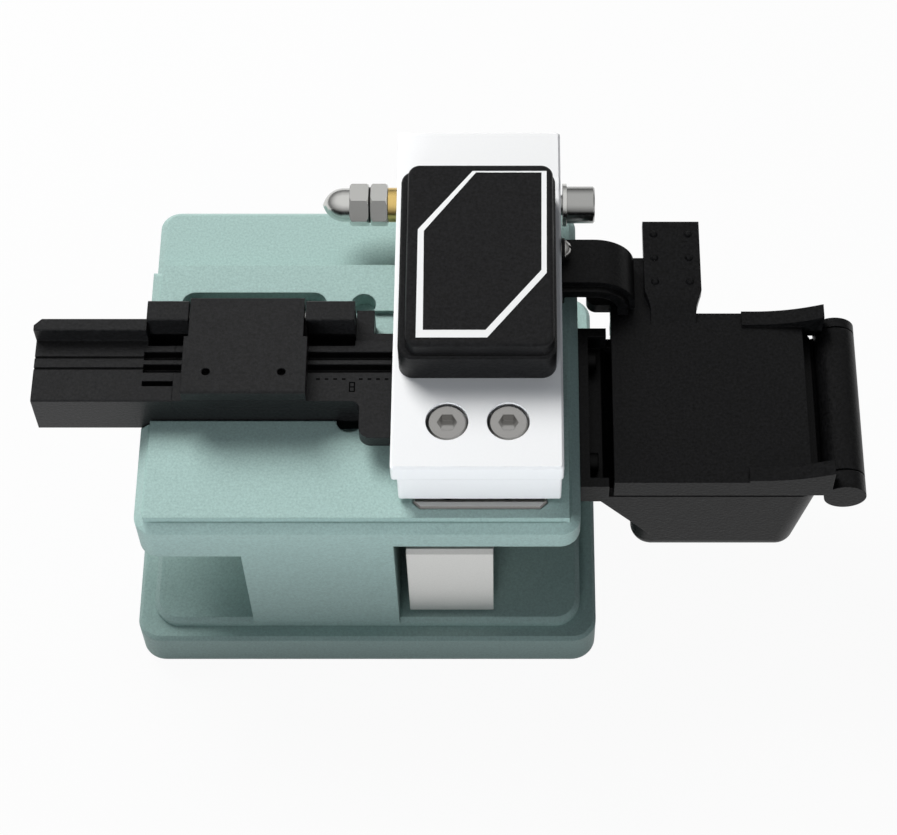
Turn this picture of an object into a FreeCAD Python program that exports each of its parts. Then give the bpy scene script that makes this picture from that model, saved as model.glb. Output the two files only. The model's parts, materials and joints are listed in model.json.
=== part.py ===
"""Fibre cleaver: a C-shaped frame on a base plate, with a clamp arm, a sliding blade and a scrap bin.

Millimetres. +X is to the operator's right, +Y is away from the operator and +Z is up.
The origin is the centre of the footprint on the table.
"""
import FreeCAD, Part
import math
import os

# ---------------------------------------------------------------- driving dimensions
# Base plate and the rubber mat let into its underside
mat_proud = 0.4
mat_recess = 1.0
mat_length = 48.0
mat_depth = 36.0
mat_corner = 4.0
base_length = 56.8
base_depth = 50.1
base_edge = 5.4
base_bevel = 0.45
base_corner = 3.0

# C-shaped frame: plinth, web and deck
frame_front = -23.2
frame_depth = 46.8
plinth_length = 52.8
plinth_rise = 1.35
plinth_bevel = 0.6
plinth_corner = 3.2
web_left = -13.9
web_width = 18.0
left_gap = 17.9
channel_gap = 20.5
deck_length = 51.8
deck_corner = 2.4
rim_thickness = 4.0
rim_bevel = 1.0
deck_rise = 0.9
deck_side_inset = 1.3
deck_front_inset = 1.2
rear_step_y = 12.7
rear_drop = 4.1
rear_bevel = 0.8

# Where the fibre lies and where the blade crosses it
fibre_y = -4.6
blade_x = 13.95

# Pockets in the deck
pocket_depth = 2.2
pocket_clearance = 0.15
lid_pocket_left = -21.9
lid_pocket_width = 17.5
lid_pocket_rear = 8.7
lid_pocket_corner = 1.6
ledge_depth = 0.7
ledge_rear = 6.1
relief_radius = 1.5
blade_slot_width = 5.5
blade_slot_margin = 0.6
platform_slot_wall = 0.4

# Fibre platform and its guide plate
platform_left = -38.0
platform_front = -9.0
platform_height = 6.6
guide_thickness = 1.9
guide_left = -21.6
guide_lobe_left = 0.2
guide_lobe_right = 7.4
guide_lobe_reach = 4.9
guide_lobe_corner = 1.4
guide_step = 1.2
rail_front = -0.8
rail_width = 1.6
rail_rise = 2.4
groove_width = 1.15
groove_depth = 1.4
groove_pitch = 1.7
scribe_width = 0.3
scribe_depth = 0.3
scribe_pitch = 1.5
finger_slot_left = -25.2
trough_front = -1.5
trough_depth = 3.1

# Clamp lid on the fibre platform
magnet_radius = 1.5
magnet_height = 2.0
lid_axis_y = 1.7
lid_axis_rise = 1.4
lid_left = -20.3
lid_right = -5.9
lid_neck_inset = 0.5
lid_neck_front = -1.9
lid_front = -9.5
lid_thickness = 2.1
lid_tail = 1.75
lid_barrel_radius = 1.4
lid_pin_radius = 0.6
lid_hole_radius = 0.5
lid_hole_spacing = 8.75
lid_hole_y = -6.7
lid_magnet_radius = 1.2
lid_magnet_height = 0.95
lid_pad_length = 9.9
lid_pad_front = 0.85
lid_pad_rear = 2.35
lid_pad_recess = 0.6
knuckle_width = 5.0
knuckle_half_depth = 1.4
knuckle_rise = 1.5
joint_gap = 0.2

# Press arm
arm_left = 4.1
arm_width = 19.7
arm_front = -19.8
arm_rear = 26.9
arm_underside_rise = 5.2
arm_thickness = 2.7
arm_bevel = 0.25
arm_axis_y = 19.2
arm_axis_rise = 3.4
foot_side_inset_left = 0.7
foot_side_inset_right = 0.2
arm_foot_rear = -8.3
arm_foot_gap = 0.6
arm_foot_relief = 0.5
arm_foot_slot = 2.1
keeper_inset_left = 1.7
keeper_inset_right = 1.6
keeper_inset_front = 1.2
keeper_inset_rear = 0.4
keeper_corner_cut = 0.8
keeper_depth = 1.2
keeper_proud = 0.2
ear_radius = 4.6
ear_width = 3.6
arm_screw_y = -13.7
arm_screw_x = 10.5
arm_screw_spacing = 7.0
pad_width = 4.8
pad_depth = 5.0
pad_thickness = 1.3
pad_proud = 0.15
pad_slot_wall = 0.8
arm_magnet_radius = 1.2
arm_magnet_height = 1.6
boss_height = 1.2
boss_front_wall = 2.6
clamp_gap = 0.3
anvil_width = 1.8
anvil_depth = 1.9
anvil_bar_thickness = 1.0
anvil_bar_rear = 0.4
anvil_stem_height = 3.5
anvil_collar = 0.8
anvil_collar_height = 0.6
anvil_travel = 0.8
anvil_clearance = 0.3

# Cap on the arm
cap_left = 4.85
cap_width = 18.2
cap_front = -8.0
cap_length = 26.0
cap_lower_height = 4.5
cap_upper_height = 2.0
cap_step_left = 0.85
cap_step_right = 0.3
cap_step_end = 0.5
cap_corner = 1.7
cap_upper_corner = 1.4
cap_round = 0.55
cap_wall = 1.4
cap_post_radius = 1.9
cap_screw_inset = 3.2
cap_screw_length = 4.5
cap_screw_rise = 1.65

# Hinge hardware of the arm
sleeve_radius = 2.1
sleeve_length = 5.5
nut_flats = 4.7
nut_turn = 23.0
nut_width = 2.05
nut_gap = 0.24
acorn_width = 2.3
dome_length = 3.35
dome_radius = 2.05
dome_neck = 0.9
washer_radius = 2.6
washer_thickness = 0.5
bolt_head_length = 3.4
hinge_block_radius = 3.0
hinge_block_rear = 21.3
hinge_block_gap = 0.4

# Finger that holds the bin cover shut
finger_front = 6.7
finger_depth = 6.1
finger_top_rise = 0.2
finger_thickness = 2.05
finger_flat = 3.95
finger_bend_radius = 5.0
finger_flange = 0.35
finger_ledge = 0.8
finger_nose = 0.3
finger_play = 0.05
finger_overlap = 0.4
finger_skirt = 3.4
finger_screw_inset = 3.7
finger_ear_radius = 1.45

# Blade carriage and its rail
carriage_left = 5.4
carriage_width = 10.3
carriage_front = -22.0
carriage_length = 27.0
carriage_lift = 0.8
carriage_height = 15.7
carriage_bevel = 0.5
carriage_travel = 14.0
carriage_front_wall = 1.5
rail_gauge = 5.0
rail_height = 3.8
rail_front_end = -5.7
rail_rear_end = 19.0
rail_groove_radius = 0.6
running_gap = 0.08
runner_width = 8.4
runner_height = 4.5
runner_length = 10.2
stop_gap = 0.3
stop_depth = 3.0
stop_width = 6.0
stop_height = 11.0
bumper_radius = 2.0
bumper_length = 1.4

# Blade wheel and its holder
blade_radius = 6.5
blade_thickness = 0.9
blade_edge = 0.5
blade_bore = 1.5
blade_rest_y = -9.8
blade_drop = 0.05
axle_clearance = 0.05
axle_head_radius = 1.9
axle_head_width = 1.4
holder_thickness = 1.6
holder_foot_thickness = 1.5
holder_foot_left = 6.5
holder_half_depth = 4.5
holder_top_radius = 1.95
holder_gap = 0.3

# Scrap bin, its cover and their hinge
bin_flange_thickness = 1.2
bin_flange_foot = 1.3
bin_flange_rear = 4.8
bin_front = -16.9
bin_rear = 6.4
bin_wall = 1.2
bin_floor_reach = 6.5
bin_floor_length = 19.6
bin_mouth_overhang = 2.2
bin_mouth_lip = 1.7
bin_bottom = 14.6
bin_corner = 2.0
bin_side_round = 2.7
chute_drop = 0.7
chute_ledge = 1.6
chute_floor = 1.0
chute_outer_bottom = 21.9
inlet_reach = 3.4
inlet_corner_reach = 4.1
rim_gap = 0.3
cover_reach = 3.95
cover_setback = 1.3
cover_top = 32.1
cover_skirt = 3.2
cover_plate = 1.4
cover_wall = 1.2
barrel_gap = 0.4
barrel_z = 28.5
barrel_radius = 2.5
barrel_pin_radius = 0.75
front_knuckle = 2.3
rear_knuckle = 1.2
knuckle_gap = 0.2
horn_length = 9.8
horn_setback = 1.7
horn_top = 34.2
horn_bend = 4.5
horn_sweep = 21.0
strip_width = 1.9
strip_rise = 0.45
tab_gap = 1.25
tab_width = 6.9
tab_front = 7.5
tab_rear = 19.0
tab_rise = 1.2
tab_root = 2.7
tab_waist = 0.7
bump_radius = 0.35
tab_bump_margin = 1.3
tab_bump_pitch = 3.45
lug_reach = 5.75
lug_front = 7.5
lug_rear = 14.3
lug_corner = 1.2
lug_thickness = 1.7
spring_wire = 0.5
spring_coil_radius = 1.35
spring_pocket = 5.0

# Fasteners: shank radius, head radius, head height and width across the hexagon
M1_6 = (0.8, 1.5, 1.6, 1.5)
M2 = (1.0, 1.9, 2.0, 1.5)
PAN_SMALL = (0.8, 1.2, 1.0, 0.9)
M2_5 = (1.25, 2.25, 2.5, 2.0)
screw_clearance = 0.05
head_clearance = 0.2

# ---------------------------------------------------------------- levels and places worked out
base_underside = mat_proud
base_top = base_underside + base_edge + base_bevel
frame_rear = frame_front + frame_depth
plinth_top = base_top + plinth_rise
web_right = web_left + web_width
left_ceiling = plinth_top + left_gap
channel_ceiling = plinth_top + channel_gap
rim_top = channel_ceiling + rim_thickness
deck_top = rim_top + deck_rise
rear_deck = deck_top - rear_drop
deck_half = deck_length / 2
pocket_floor = deck_top - pocket_depth
platform_top = pocket_floor + platform_height
guide_seat = platform_top - guide_thickness
rail_rear = rail_front + rail_width
lid_axis_z = platform_top + lid_axis_rise
lid_top = lid_axis_z + lid_barrel_radius
lid_underside = lid_top - lid_thickness
arm_underside = deck_top + arm_underside_rise
arm_top = arm_underside + arm_thickness
arm_right = arm_left + arm_width
arm_axis_z = deck_top + arm_axis_rise
cap_right = cap_left + cap_width
carriage_bottom = plinth_top + carriage_lift
carriage_top = carriage_bottom + carriage_height
carriage_mid = carriage_left + carriage_width / 2
carriage_rear = carriage_front + carriage_length
blade_z = platform_top + clamp_gap + blade_drop - blade_radius
platform_right = blade_x - blade_slot_width / 2 - platform_slot_wall
blade_slot_front = blade_rest_y - blade_radius - blade_slot_margin
blade_slot_rear = blade_rest_y + carriage_travel + blade_radius + blade_slot_margin
pad_top = platform_top + pad_proud
pad_offset = blade_slot_width / 2 + pad_slot_wall + pad_width / 2
pad_centres = (blade_x - pad_offset, blade_x + pad_offset)
pad_front = fibre_y - pad_depth / 2
upper_pad_bottom = pad_top + clamp_gap
anvil_bottom = platform_top + clamp_gap + blade_drop + clamp_gap
foot_bottom = deck_top + arm_foot_gap
barrel_front = bin_front + front_knuckle + knuckle_gap
barrel_rear = bin_rear - rear_knuckle - knuckle_gap
bin_floor_left = deck_half + bin_floor_reach
bin_floor_right = bin_floor_left + bin_floor_length
bin_mouth_right = bin_floor_right + bin_mouth_overhang
inlet_right = deck_half + inlet_reach
inlet_corner_left = deck_half + inlet_corner_reach
barrel_x = bin_mouth_right + barrel_radius + barrel_gap
cover_left = deck_half + cover_reach
cover_right = bin_mouth_right - cover_setback
horn_tip = barrel_x - horn_setback
horn_root = horn_tip - horn_length
finger_left = arm_right + finger_play
finger_right = finger_left + finger_flange + finger_flat + finger_bend_radius - finger_overlap
tab_left = finger_right + tab_gap
lug_left = finger_right - lug_reach
cover_underside = cover_top - cover_skirt
bin_rim = cover_underside - rim_gap
left_knuckle = (lid_left - knuckle_width + 0.5, lid_left + lid_neck_inset - joint_gap + 0.05)
right_knuckle = (lid_right - lid_neck_inset + joint_gap, lid_right + knuckle_width + 0.4)


# ---------------------------------------------------------------- shape helpers
def vec(x, y, z):
    return FreeCAD.Vector(x, y, z)


def block(xs, ys, zs):
    """Box between the two limits given along each axis."""
    return Part.makeBox(xs[1] - xs[0], ys[1] - ys[0], zs[1] - zs[0], vec(xs[0], ys[0], zs[0]))


def rod(start, direction, radius, length):
    """Cylinder from start along direction."""
    return Part.makeCylinder(radius, length, vec(*start), vec(*direction))


def outline(points, place):
    """Closed wire through points (a, b) or (a, b, r), where r rounds that corner."""
    corners = []
    for index, point in enumerate(points):
        here = vec(point[0], point[1], 0)
        if len(point) == 2:
            corners.append([here])
            continue
        back = vec(*points[index - 1][:2], 0).sub(here).normalize()
        ahead = vec(*points[(index + 1) % len(points)][:2], 0).sub(here).normalize()
        half_angle = back.getAngle(ahead) / 2
        middle = back.add(ahead).normalize()
        setback = point[2] / math.tan(half_angle)
        crown = point[2] / math.sin(half_angle) - point[2]
        corners.append([here + back * setback, here + middle * crown, here + ahead * setback])
    edges = []
    for index, corner in enumerate(corners):
        if len(corner) == 3:
            edges.append(Part.Arc(*[place(spot.x, spot.y) for spot in corner]).toShape())
        start = corner[-1]
        end = corners[(index + 1) % len(corners)][0]
        if start.distanceToPoint(end) > 1e-6:
            edges.append(Part.makeLine(place(start.x, start.y), place(end.x, end.y)))
    return Part.Wire(edges)


def prism_x(points, xs):
    """Profile in (Y, Z) carried from xs[0] to xs[1]."""
    wire = outline(points, lambda a, b: vec(xs[0], a, b))
    return Part.Face(wire).extrude(vec(xs[1] - xs[0], 0, 0))


def prism_y(points, ys):
    """Profile in (X, Z) carried from ys[0] to ys[1]."""
    wire = outline(points, lambda a, b: vec(a, ys[0], b))
    return Part.Face(wire).extrude(vec(0, ys[1] - ys[0], 0))


def prism_z(points, zs):
    """Profile in (X, Y) carried from zs[0] to zs[1]."""
    wire = outline(points, lambda a, b: vec(a, b, zs[0]))
    return Part.Face(wire).extrude(vec(0, 0, zs[1] - zs[0]))


def slab(xs, ys, zs, corner):
    """Flat plate with rounded upright corners."""
    sides = [(xs[0], ys[0], corner), (xs[1], ys[0], corner), (xs[1], ys[1], corner), (xs[0], ys[1], corner)]
    return prism_z(sides, zs)


def edges_level_with(shape, z):
    """Edges that lie flat at height z."""
    return [e for e in shape.Edges if abs(e.BoundBox.ZMin - z) < 1e-3 and abs(e.BoundBox.ZMax - z) < 1e-3]


def bevel_top(shape, z, size):
    return shape.makeChamfer(size, edges_level_with(shape, z))


def round_top(shape, z, radius):
    return shape.makeFillet(radius, edges_level_with(shape, z))


def hexagon(flats, height, turn=0):
    """Hexagonal prism standing on the origin, turned by some degrees."""
    corner = flats / math.sqrt(3)
    angles = [math.radians(60 * k + turn) for k in range(6)]
    return prism_z([(corner * math.cos(a), corner * math.sin(a)) for a in angles], (0, height))


def aim(shape, seat, outward):
    """Turns a shape built along +Z so that it stands on seat and points outward."""
    placed = shape.copy()
    placed.Placement = FreeCAD.Placement(vec(*seat), FreeCAD.Rotation(vec(0, 0, 1), vec(*outward)))
    return placed


def cap_screw(size, length, seat, outward):
    """Socket head cap screw; seat is the centre of the underside of its head."""
    shank, head, rise, flats = size
    body = bevel_top(Part.makeCylinder(head, rise), rise, head * 0.08)
    body = body.fuse(Part.makeCylinder(shank, length, vec(0, 0, -length)))
    socket = hexagon(flats, rise)
    socket.translate(vec(0, 0, rise / 2))
    return aim(body.cut(socket).removeSplitter(), seat, outward)


def screw_hole(size, length, seat, outward, sink):
    """Hole for a cap screw; sink is the depth of the counterbore above the seat."""
    hole = Part.makeCylinder(size[0] + screw_clearance, length + screw_clearance, vec(0, 0, -length - screw_clearance))
    if sink > 0:
        hole = hole.fuse(Part.makeCylinder(size[1] + head_clearance, sink))
    return aim(hole, seat, outward)


def join(shapes):
    whole = shapes[0]
    for shape in shapes[1:]:
        whole = whole.fuse(shape)
    return whole.removeSplitter()


def carve(shape, tools):
    for tool in tools:
        shape = shape.cut(tool)
    return shape


nodes = {}


def node(name, solids):
    """Keeps the solids of one sub-part; export comes last."""
    nodes[name] = solids


# ---------------------------------------------------------------- places of the fasteners
base_screw_length = 9.0
base_screw_sink = 3.0
base_screw_seat = base_underside + base_screw_sink
base_screw_spacing = 22.0
base_screw_places = [(web_left + web_width * share, base_screw_spacing * side) for share in (0.25, 0.75) for side in (-0.5, 0.5)]
rail_screw_length = 6.6
rail_screw_sink = 1.8
rail_screw_seat = plinth_top + rail_height - rail_screw_sink
rail_screw_ys = [rail_front_end + (rail_rear_end - rail_front_end) * share for share in (0.14, 0.5, 0.86)]
hinge_block_xs = (arm_left + foot_side_inset_left + ear_width + hinge_block_gap,
                  arm_right - foot_side_inset_right - ear_width - hinge_block_gap)
hinge_screw_length = 6.0
hinge_screw_sink = 2.0
hinge_screw_seat = left_ceiling + hinge_screw_sink
hinge_screw_margin = 2.6
hinge_screw_xs = [hinge_block_xs[0] + hinge_screw_margin, hinge_block_xs[1] - hinge_screw_margin]
arm_screw_xs = (arm_screw_x, arm_screw_x + arm_screw_spacing)
cap_screw_seat = arm_underside + cap_screw_rise
arm_screw_sink = 2.7
arm_screw_length = 4.6
platform_screw_length = 6.5
platform_screw_sink = 2.2
platform_screw_seat = guide_seat - platform_screw_sink
platform_screw_places = ((-16.0, -6.6), (-1.5, -6.6))
clamp_block_screw_length = 5.0
stop_screw_length = 8.0
bin_screw_length = 4.0
bin_screw_ys = (-13.0, 1.0)
bin_screw_z = channel_ceiling - chute_drop + chute_floor + PAN_SMALL[1] + 0.15


# ---------------------------------------------------------------- frame of the cleaver
def mat_blank(clearance, zs):
    half_length = mat_length / 2 - clearance
    half_depth = mat_depth / 2 - clearance
    return slab((-half_length, half_length), (-half_depth, half_depth), zs, mat_corner)


def base_plate():
    half_length = base_length / 2
    half_depth = base_depth / 2
    plate = slab((-half_length, half_length), (-half_depth, half_depth), (base_underside, base_top), base_corner)
    plate = bevel_top(plate, base_top, base_bevel)
    tools = [mat_blank(0, (base_underside, base_underside + mat_recess))]
    for x, y in base_screw_places:
        tools.append(screw_hole(M2_5, base_screw_length, (x, y, base_screw_seat), (0, 0, -1), base_screw_sink))
    tools.append(screw_hole(M2, stop_screw_length, stop_screw_seat(), (0, 0, -1), 2.5))
    tools += rail_screw_holes()
    return carve(plate, tools)


def rubber_mat():
    """Mat the cleaver stands on; holes in it leave the heads of the base screws free."""
    thickness = mat_recess + mat_proud
    mat = mat_blank(screw_clearance, (0, thickness))
    return carve(mat, [rod((x, y, -1), (0, 0, 1), M2_5[1] + head_clearance, thickness + 2) for x, y in base_screw_places])


def base_screws():
    return [cap_screw(M2_5, base_screw_length, (x, y, base_screw_seat), (0, 0, -1)) for x, y in base_screw_places]


def deck_blank():
    """Deck plate with its bevelled rim, its raised top and its lower rear part."""
    sides = (-deck_half, deck_half)
    low = slab(sides, (frame_front, frame_rear), (left_ceiling, rear_deck), deck_corner)
    low = bevel_top(low, rear_deck, rear_bevel)
    front_points = [(sides[0], frame_front, deck_corner), (sides[1], frame_front, deck_corner),
                    (sides[1], rear_step_y), (sides[0], rear_step_y)]
    rim = bevel_top(prism_z(front_points, (left_ceiling, rim_top)), rim_top, rim_bevel)
    rim = rim.common(block(sides, (frame_front, rear_step_y), (left_ceiling, rim_top)))
    raised_half = deck_half - deck_side_inset
    raised = block((-raised_half, raised_half), (frame_front + deck_front_inset, rear_step_y), (rim_top - 1, deck_top))
    return join([low, rim, raised])


def frame_pockets():
    """Everything milled out of the deck."""
    reach = deck_half + 1
    pocket_front = platform_front - pocket_clearance
    pocket_right = platform_right + pocket_clearance
    knuckle_rear = lid_axis_y + knuckle_half_depth + pocket_clearance
    tools = [block((-reach, pocket_right), (pocket_front, knuckle_rear), (pocket_floor, deck_top + 1))]
    lobe_right = guide_lobe_right + pocket_clearance
    tools.append(rod((guide_lobe_left - 1.4, pocket_front, pocket_floor), (0, 0, 1), relief_radius, pocket_depth + 1))
    tools.append(slab((lid_pocket_left, lid_pocket_left + lid_pocket_width), (knuckle_rear - 5, lid_pocket_rear),
                      (pocket_floor, deck_top + 1), lid_pocket_corner))
    ledge_left = lid_right + knuckle_width + 0.4 - pocket_clearance
    tools.append(block((ledge_left, lobe_right + 3), (0, ledge_rear), (deck_top - ledge_depth, deck_top + 1)))
    tools.append(rod((ledge_left + 0.7, ledge_rear + 0.9, pocket_floor), (0, 0, 1), relief_radius, pocket_depth + 1))
    slot_sides = (blade_x - blade_slot_width / 2, blade_x + blade_slot_width / 2)
    tools.append(slab(slot_sides, (blade_slot_front, blade_slot_rear), (left_ceiling - 1, deck_top + 1), 1.0))
    tools.append(keeper_blank(screw_clearance))
    return tools


def body_frame():
    plinth_half = plinth_length / 2
    plinth = slab((-plinth_half, plinth_half), (frame_front, frame_rear), (base_top, plinth_top), plinth_corner)
    plinth = bevel_top(plinth, plinth_top, plinth_bevel)
    web = block((web_left, web_right), (frame_front, frame_rear), (base_top, left_ceiling + 1))
    frame = join([deck_blank(), web, plinth])
    channel = block((web_right, deck_half + 1), (frame_front - 1, rear_step_y), (left_ceiling - 1, channel_ceiling))
    frame = carve(frame, [channel] + frame_pockets())
    tools = []
    for x, y in base_screw_places:
        tools.append(screw_hole(M2_5, base_screw_length, (x, y, base_screw_seat), (0, 0, -1), 0))
    for x in hinge_screw_xs:
        tools.append(screw_hole(M2, hinge_screw_length, (x, arm_axis_y - 0.4, hinge_screw_seat), (0, 0, -1), hinge_screw_sink + 1))
    for x, y in platform_screw_places:
        tools.append(screw_hole(M2, platform_screw_length, (x, y, platform_screw_seat), (0, 0, 1), 0))
    for y in bin_screw_ys:
        tools.append(screw_hole(PAN_SMALL, bin_screw_length, (deck_half + bin_flange_thickness, y, bin_screw_z), (1, 0, 0), 0))
    tools.append(screw_hole(M2, clamp_block_screw_length, clamp_block_seat(), (0, 0, 1), 0))
    tools.append(screw_hole(M2, stop_screw_length, stop_screw_seat(), (0, 0, -1), 0))
    tools += rail_screw_holes()
    return carve(frame, tools)


def keeper_blank(clearance):
    """Outline of the steel keeper that the arm's magnet pulls on; two front corners are cut off."""
    left = arm_left + foot_side_inset_left + keeper_inset_left - clearance
    right = arm_right - foot_side_inset_right - keeper_inset_right + clearance
    front = frame_front + deck_front_inset + keeper_inset_front - clearance
    rear = blade_slot_front - keeper_inset_rear + clearance
    cut = keeper_corner_cut
    points = [(left + cut, front), (right - cut, front), (right, front + cut), (right, rear), (left, rear),
              (left, front + cut)]
    return prism_z(points, (deck_top - keeper_depth, deck_top + keeper_proud))


def keeper_plate():
    plate = keeper_blank(0)
    return bevel_top(plate, deck_top + keeper_proud, keeper_proud)


# ---------------------------------------------------------------- fibre platform
def fibre_platform():
    """Black bar across the deck that carries the fibre; its left end stands out over the side."""
    front = platform_front
    rear = rail_rear
    bar = prism_x([(front, pocket_floor, 0.4), (rear, pocket_floor), (rear, platform_top + rail_rise, 0.2),
                   (rail_front, platform_top + rail_rise, 0.2), (rail_front, platform_top), (front, platform_top, 0.25)],
                  (platform_left, guide_left))
    corner_cut = 0.95
    bar = bar.cut(prism_z([(platform_left - 1, rear - corner_cut), (platform_left, rear - corner_cut),
                           (platform_left + corner_cut, rear), (platform_left + corner_cut, rear + 1),
                           (platform_left - 1, rear + 1)], (pocket_floor - 1, platform_top + rail_rise + 1)))
    under_guide = block((guide_left, platform_right), (front, rear), (pocket_floor, guide_seat))
    step = block((guide_lobe_right, platform_right + 1), (front - 1, front + guide_step), (pocket_floor - 1, guide_seat + 1))
    hinge_floor = lid_axis_z - math.hypot(lid_tail, lid_barrel_radius) - joint_gap
    knuckle_rear = lid_axis_y + knuckle_half_depth
    shelf = block((left_knuckle[0], right_knuckle[1]), (rear - 1, knuckle_rear), (pocket_floor, hinge_floor))
    rear_strip = block((guide_left, platform_right), (rail_front, rear), (guide_seat, hinge_floor))
    end_block = block((right_knuckle[1], right_knuckle[1] + 2.1), (0.6, 4.2), (deck_top - ledge_depth, platform_top - 1.3))
    knuckles = []
    for sides in (left_knuckle, right_knuckle):
        knuckles.append(prism_x([(lid_axis_y - knuckle_half_depth, pocket_floor), (knuckle_rear, pocket_floor),
                                 (knuckle_rear, lid_axis_z + knuckle_rise, 0.5),
                                 (lid_axis_y - knuckle_half_depth, lid_axis_z + knuckle_rise, 0.25)], sides))
    bar = bar.cut(block((left_knuckle[0] - 0.01, guide_left + 1), (rail_front - 1, rear + 1),
                        (platform_top, platform_top + rail_rise + 1)))
    whole = join([bar, under_guide.cut(step), shelf, rear_strip.cut(step), end_block] + knuckles)
    tools = groove_tools(platform_left - 1, finger_slot_left, scribe_pitch, scribe_width, scribe_depth)
    tools += groove_tools(finger_slot_left, guide_left, groove_pitch, groove_width, groove_depth)
    tools.append(block((finger_slot_left, guide_left), (-7.0, -6.3), (platform_top - groove_depth, platform_top + 1)))
    tools.append(hinge_trough())
    tools.append(rod((left_knuckle[0] + 0.8, lid_axis_y, lid_axis_z), (1, 0, 0), lid_pin_radius + 0.02,
                     right_knuckle[1] - left_knuckle[0] - 1.6))
    for x, y in platform_screw_places:
        tools.append(screw_hole(M2, platform_screw_length, (x, y, platform_screw_seat), (0, 0, 1), platform_screw_sink + 1))
    tools.append(rod((*platform_magnet_place(), guide_seat - magnet_height), (0, 0, 1), magnet_radius, magnet_height))
    return carve(whole, tools)


def hinge_trough():
    """Room in front of the lid's knuckles, milled through the platform and its guide plate."""
    bottom = platform_top - trough_depth
    rear = lid_axis_y - knuckle_half_depth
    return prism_x([(trough_front, bottom, 0.5), (rear, bottom), (rear, platform_top + 1), (trough_front, platform_top + 1)],
                   (left_knuckle[0], right_knuckle[1]))


def groove_tools(left, right, pitch, width, depth):
    """The two grooves along the platform in which the fibre lies."""
    tools = []
    for y in (fibre_y, fibre_y + pitch):
        tools.append(block((left, right), (y - width / 2, y + width / 2), (platform_top - depth, platform_top + 1)))
    return tools


def guide_plate():
    """Plate let into the platform, with a lobe that reaches towards the operator beside the arm."""
    front = platform_front
    lobe_front = front - guide_lobe_reach
    points = [(guide_left, front), (guide_lobe_left, front, 1.0), (guide_lobe_left, lobe_front, guide_lobe_corner),
              (guide_lobe_right, lobe_front), (guide_lobe_right, front + guide_step),
              (platform_right, front + guide_step), (platform_right, rail_front), (guide_left, rail_front)]
    plate = prism_z(points, (guide_seat, platform_top))
    tools = groove_tools(guide_left - 1, platform_right + 1, groove_pitch, groove_width, groove_depth)
    tools.append(hinge_trough())
    pad_x = pad_centres[0]
    tools.append(block((pad_x - pad_width / 2, pad_x + pad_width / 2), (pad_front, pad_front + pad_depth),
                       (platform_top - 1.0, platform_top + 1)))
    return carve(plate, tools)


def lower_pads():
    pads = []
    for x in pad_centres:
        pads.append(block((x - pad_width / 2 + screw_clearance, x + pad_width / 2 - screw_clearance),
                          (pad_front + screw_clearance, pad_front + pad_depth - screw_clearance),
                          (platform_top - 1.0, pad_top)))
    return pads


def clamp_block_seat():
    return (pad_centres[1], pad_front + pad_depth / 2, platform_top - 3.4)


def clamp_block():
    """Post to the right of the blade that carries the second lower pad."""
    x = pad_centres[1]
    half = pad_width / 2
    wall = 0.5
    post = slab((x - half - 0.3, x + half + wall), (pad_front - wall, pad_front + pad_depth + wall),
                (deck_top, platform_top), 0.3)
    pocket = block((x - half, x + half), (pad_front, pad_front + pad_depth), (platform_top - 1.0, platform_top + 1))
    hole = screw_hole(M2, clamp_block_screw_length, clamp_block_seat(), (0, 0, 1), 4.0)
    return carve(post, [pocket, hole])


def platform_screws():
    return [cap_screw(M2, platform_screw_length, (x, y, platform_screw_seat), (0, 0, 1)) for x, y in platform_screw_places]


def platform_magnet_place():
    return ((lid_left + lid_right + lid_hole_spacing) / 2, lid_hole_y)


def platform_magnet():
    x, y = platform_magnet_place()
    return [rod((x, y, guide_seat - magnet_height), (0, 0, 1), magnet_radius - screw_clearance, magnet_height - 0.1)]


def clamp_block_screw():
    return [cap_screw(M2, clamp_block_screw_length, clamp_block_seat(), (0, 0, 1))]


def lid_pin():
    left = lid_left - knuckle_width + 0.5 + 0.9
    right = lid_right + knuckle_width + 0.4 - 0.9
    return [rod((left, lid_axis_y, lid_axis_z), (1, 0, 0), lid_pin_radius, right - left)]


def clamp_lid():
    """Flap that holds the fibre down; its neck turns between the two knuckles."""
    rear = lid_axis_y + lid_tail
    neck = (lid_left + lid_neck_inset, lid_right - lid_neck_inset)
    profile = [(lid_front, lid_underside, 0.3), (rear, lid_underside), (rear, lid_top, 0.25), (lid_front, lid_top, 0.4)]
    leaf = prism_x(profile, (lid_left, lid_right))
    for sides in ((lid_left - 1, neck[0]), (neck[1], lid_right + 1)):
        leaf = leaf.cut(block(sides, (lid_neck_front, rear + 1), (lid_underside - 1, lid_top + 1)))
    barrel = rod((neck[0], lid_axis_y, lid_axis_z), (1, 0, 0), lid_barrel_radius, neck[1] - neck[0])
    middle = (lid_left + lid_right) / 2
    tools = [rod((neck[0] - 1, lid_axis_y, lid_axis_z), (1, 0, 0), lid_pin_radius + 0.05, neck[1] - neck[0] + 2)]
    for side in (-0.5, 0.5):
        x = middle + side * lid_hole_spacing
        tools.append(rod((x, lid_hole_y, lid_underside - 1), (0, 0, 1), lid_hole_radius, lid_thickness + 2))
        tools.append(rod((x, lid_hole_y, lid_underside - 1), (0, 0, 1), lid_magnet_radius + screw_clearance,
                         lid_magnet_height + screw_clearance + 1))
    half_pad = lid_pad_length / 2 + screw_clearance
    tools.append(block((middle - half_pad, middle + half_pad),
                       (fibre_y - lid_pad_front - screw_clearance, fibre_y + lid_pad_rear + screw_clearance),
                       (lid_underside - 1, lid_underside + lid_pad_recess)))
    return carve(join([leaf, barrel]), tools)


def lid_pad():
    middle = (lid_left + lid_right) / 2
    half = lid_pad_length / 2
    return [block((middle - half, middle + half), (fibre_y - lid_pad_front, fibre_y + lid_pad_rear),
                  (platform_top + clamp_gap, lid_underside + lid_pad_recess))]


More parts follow.
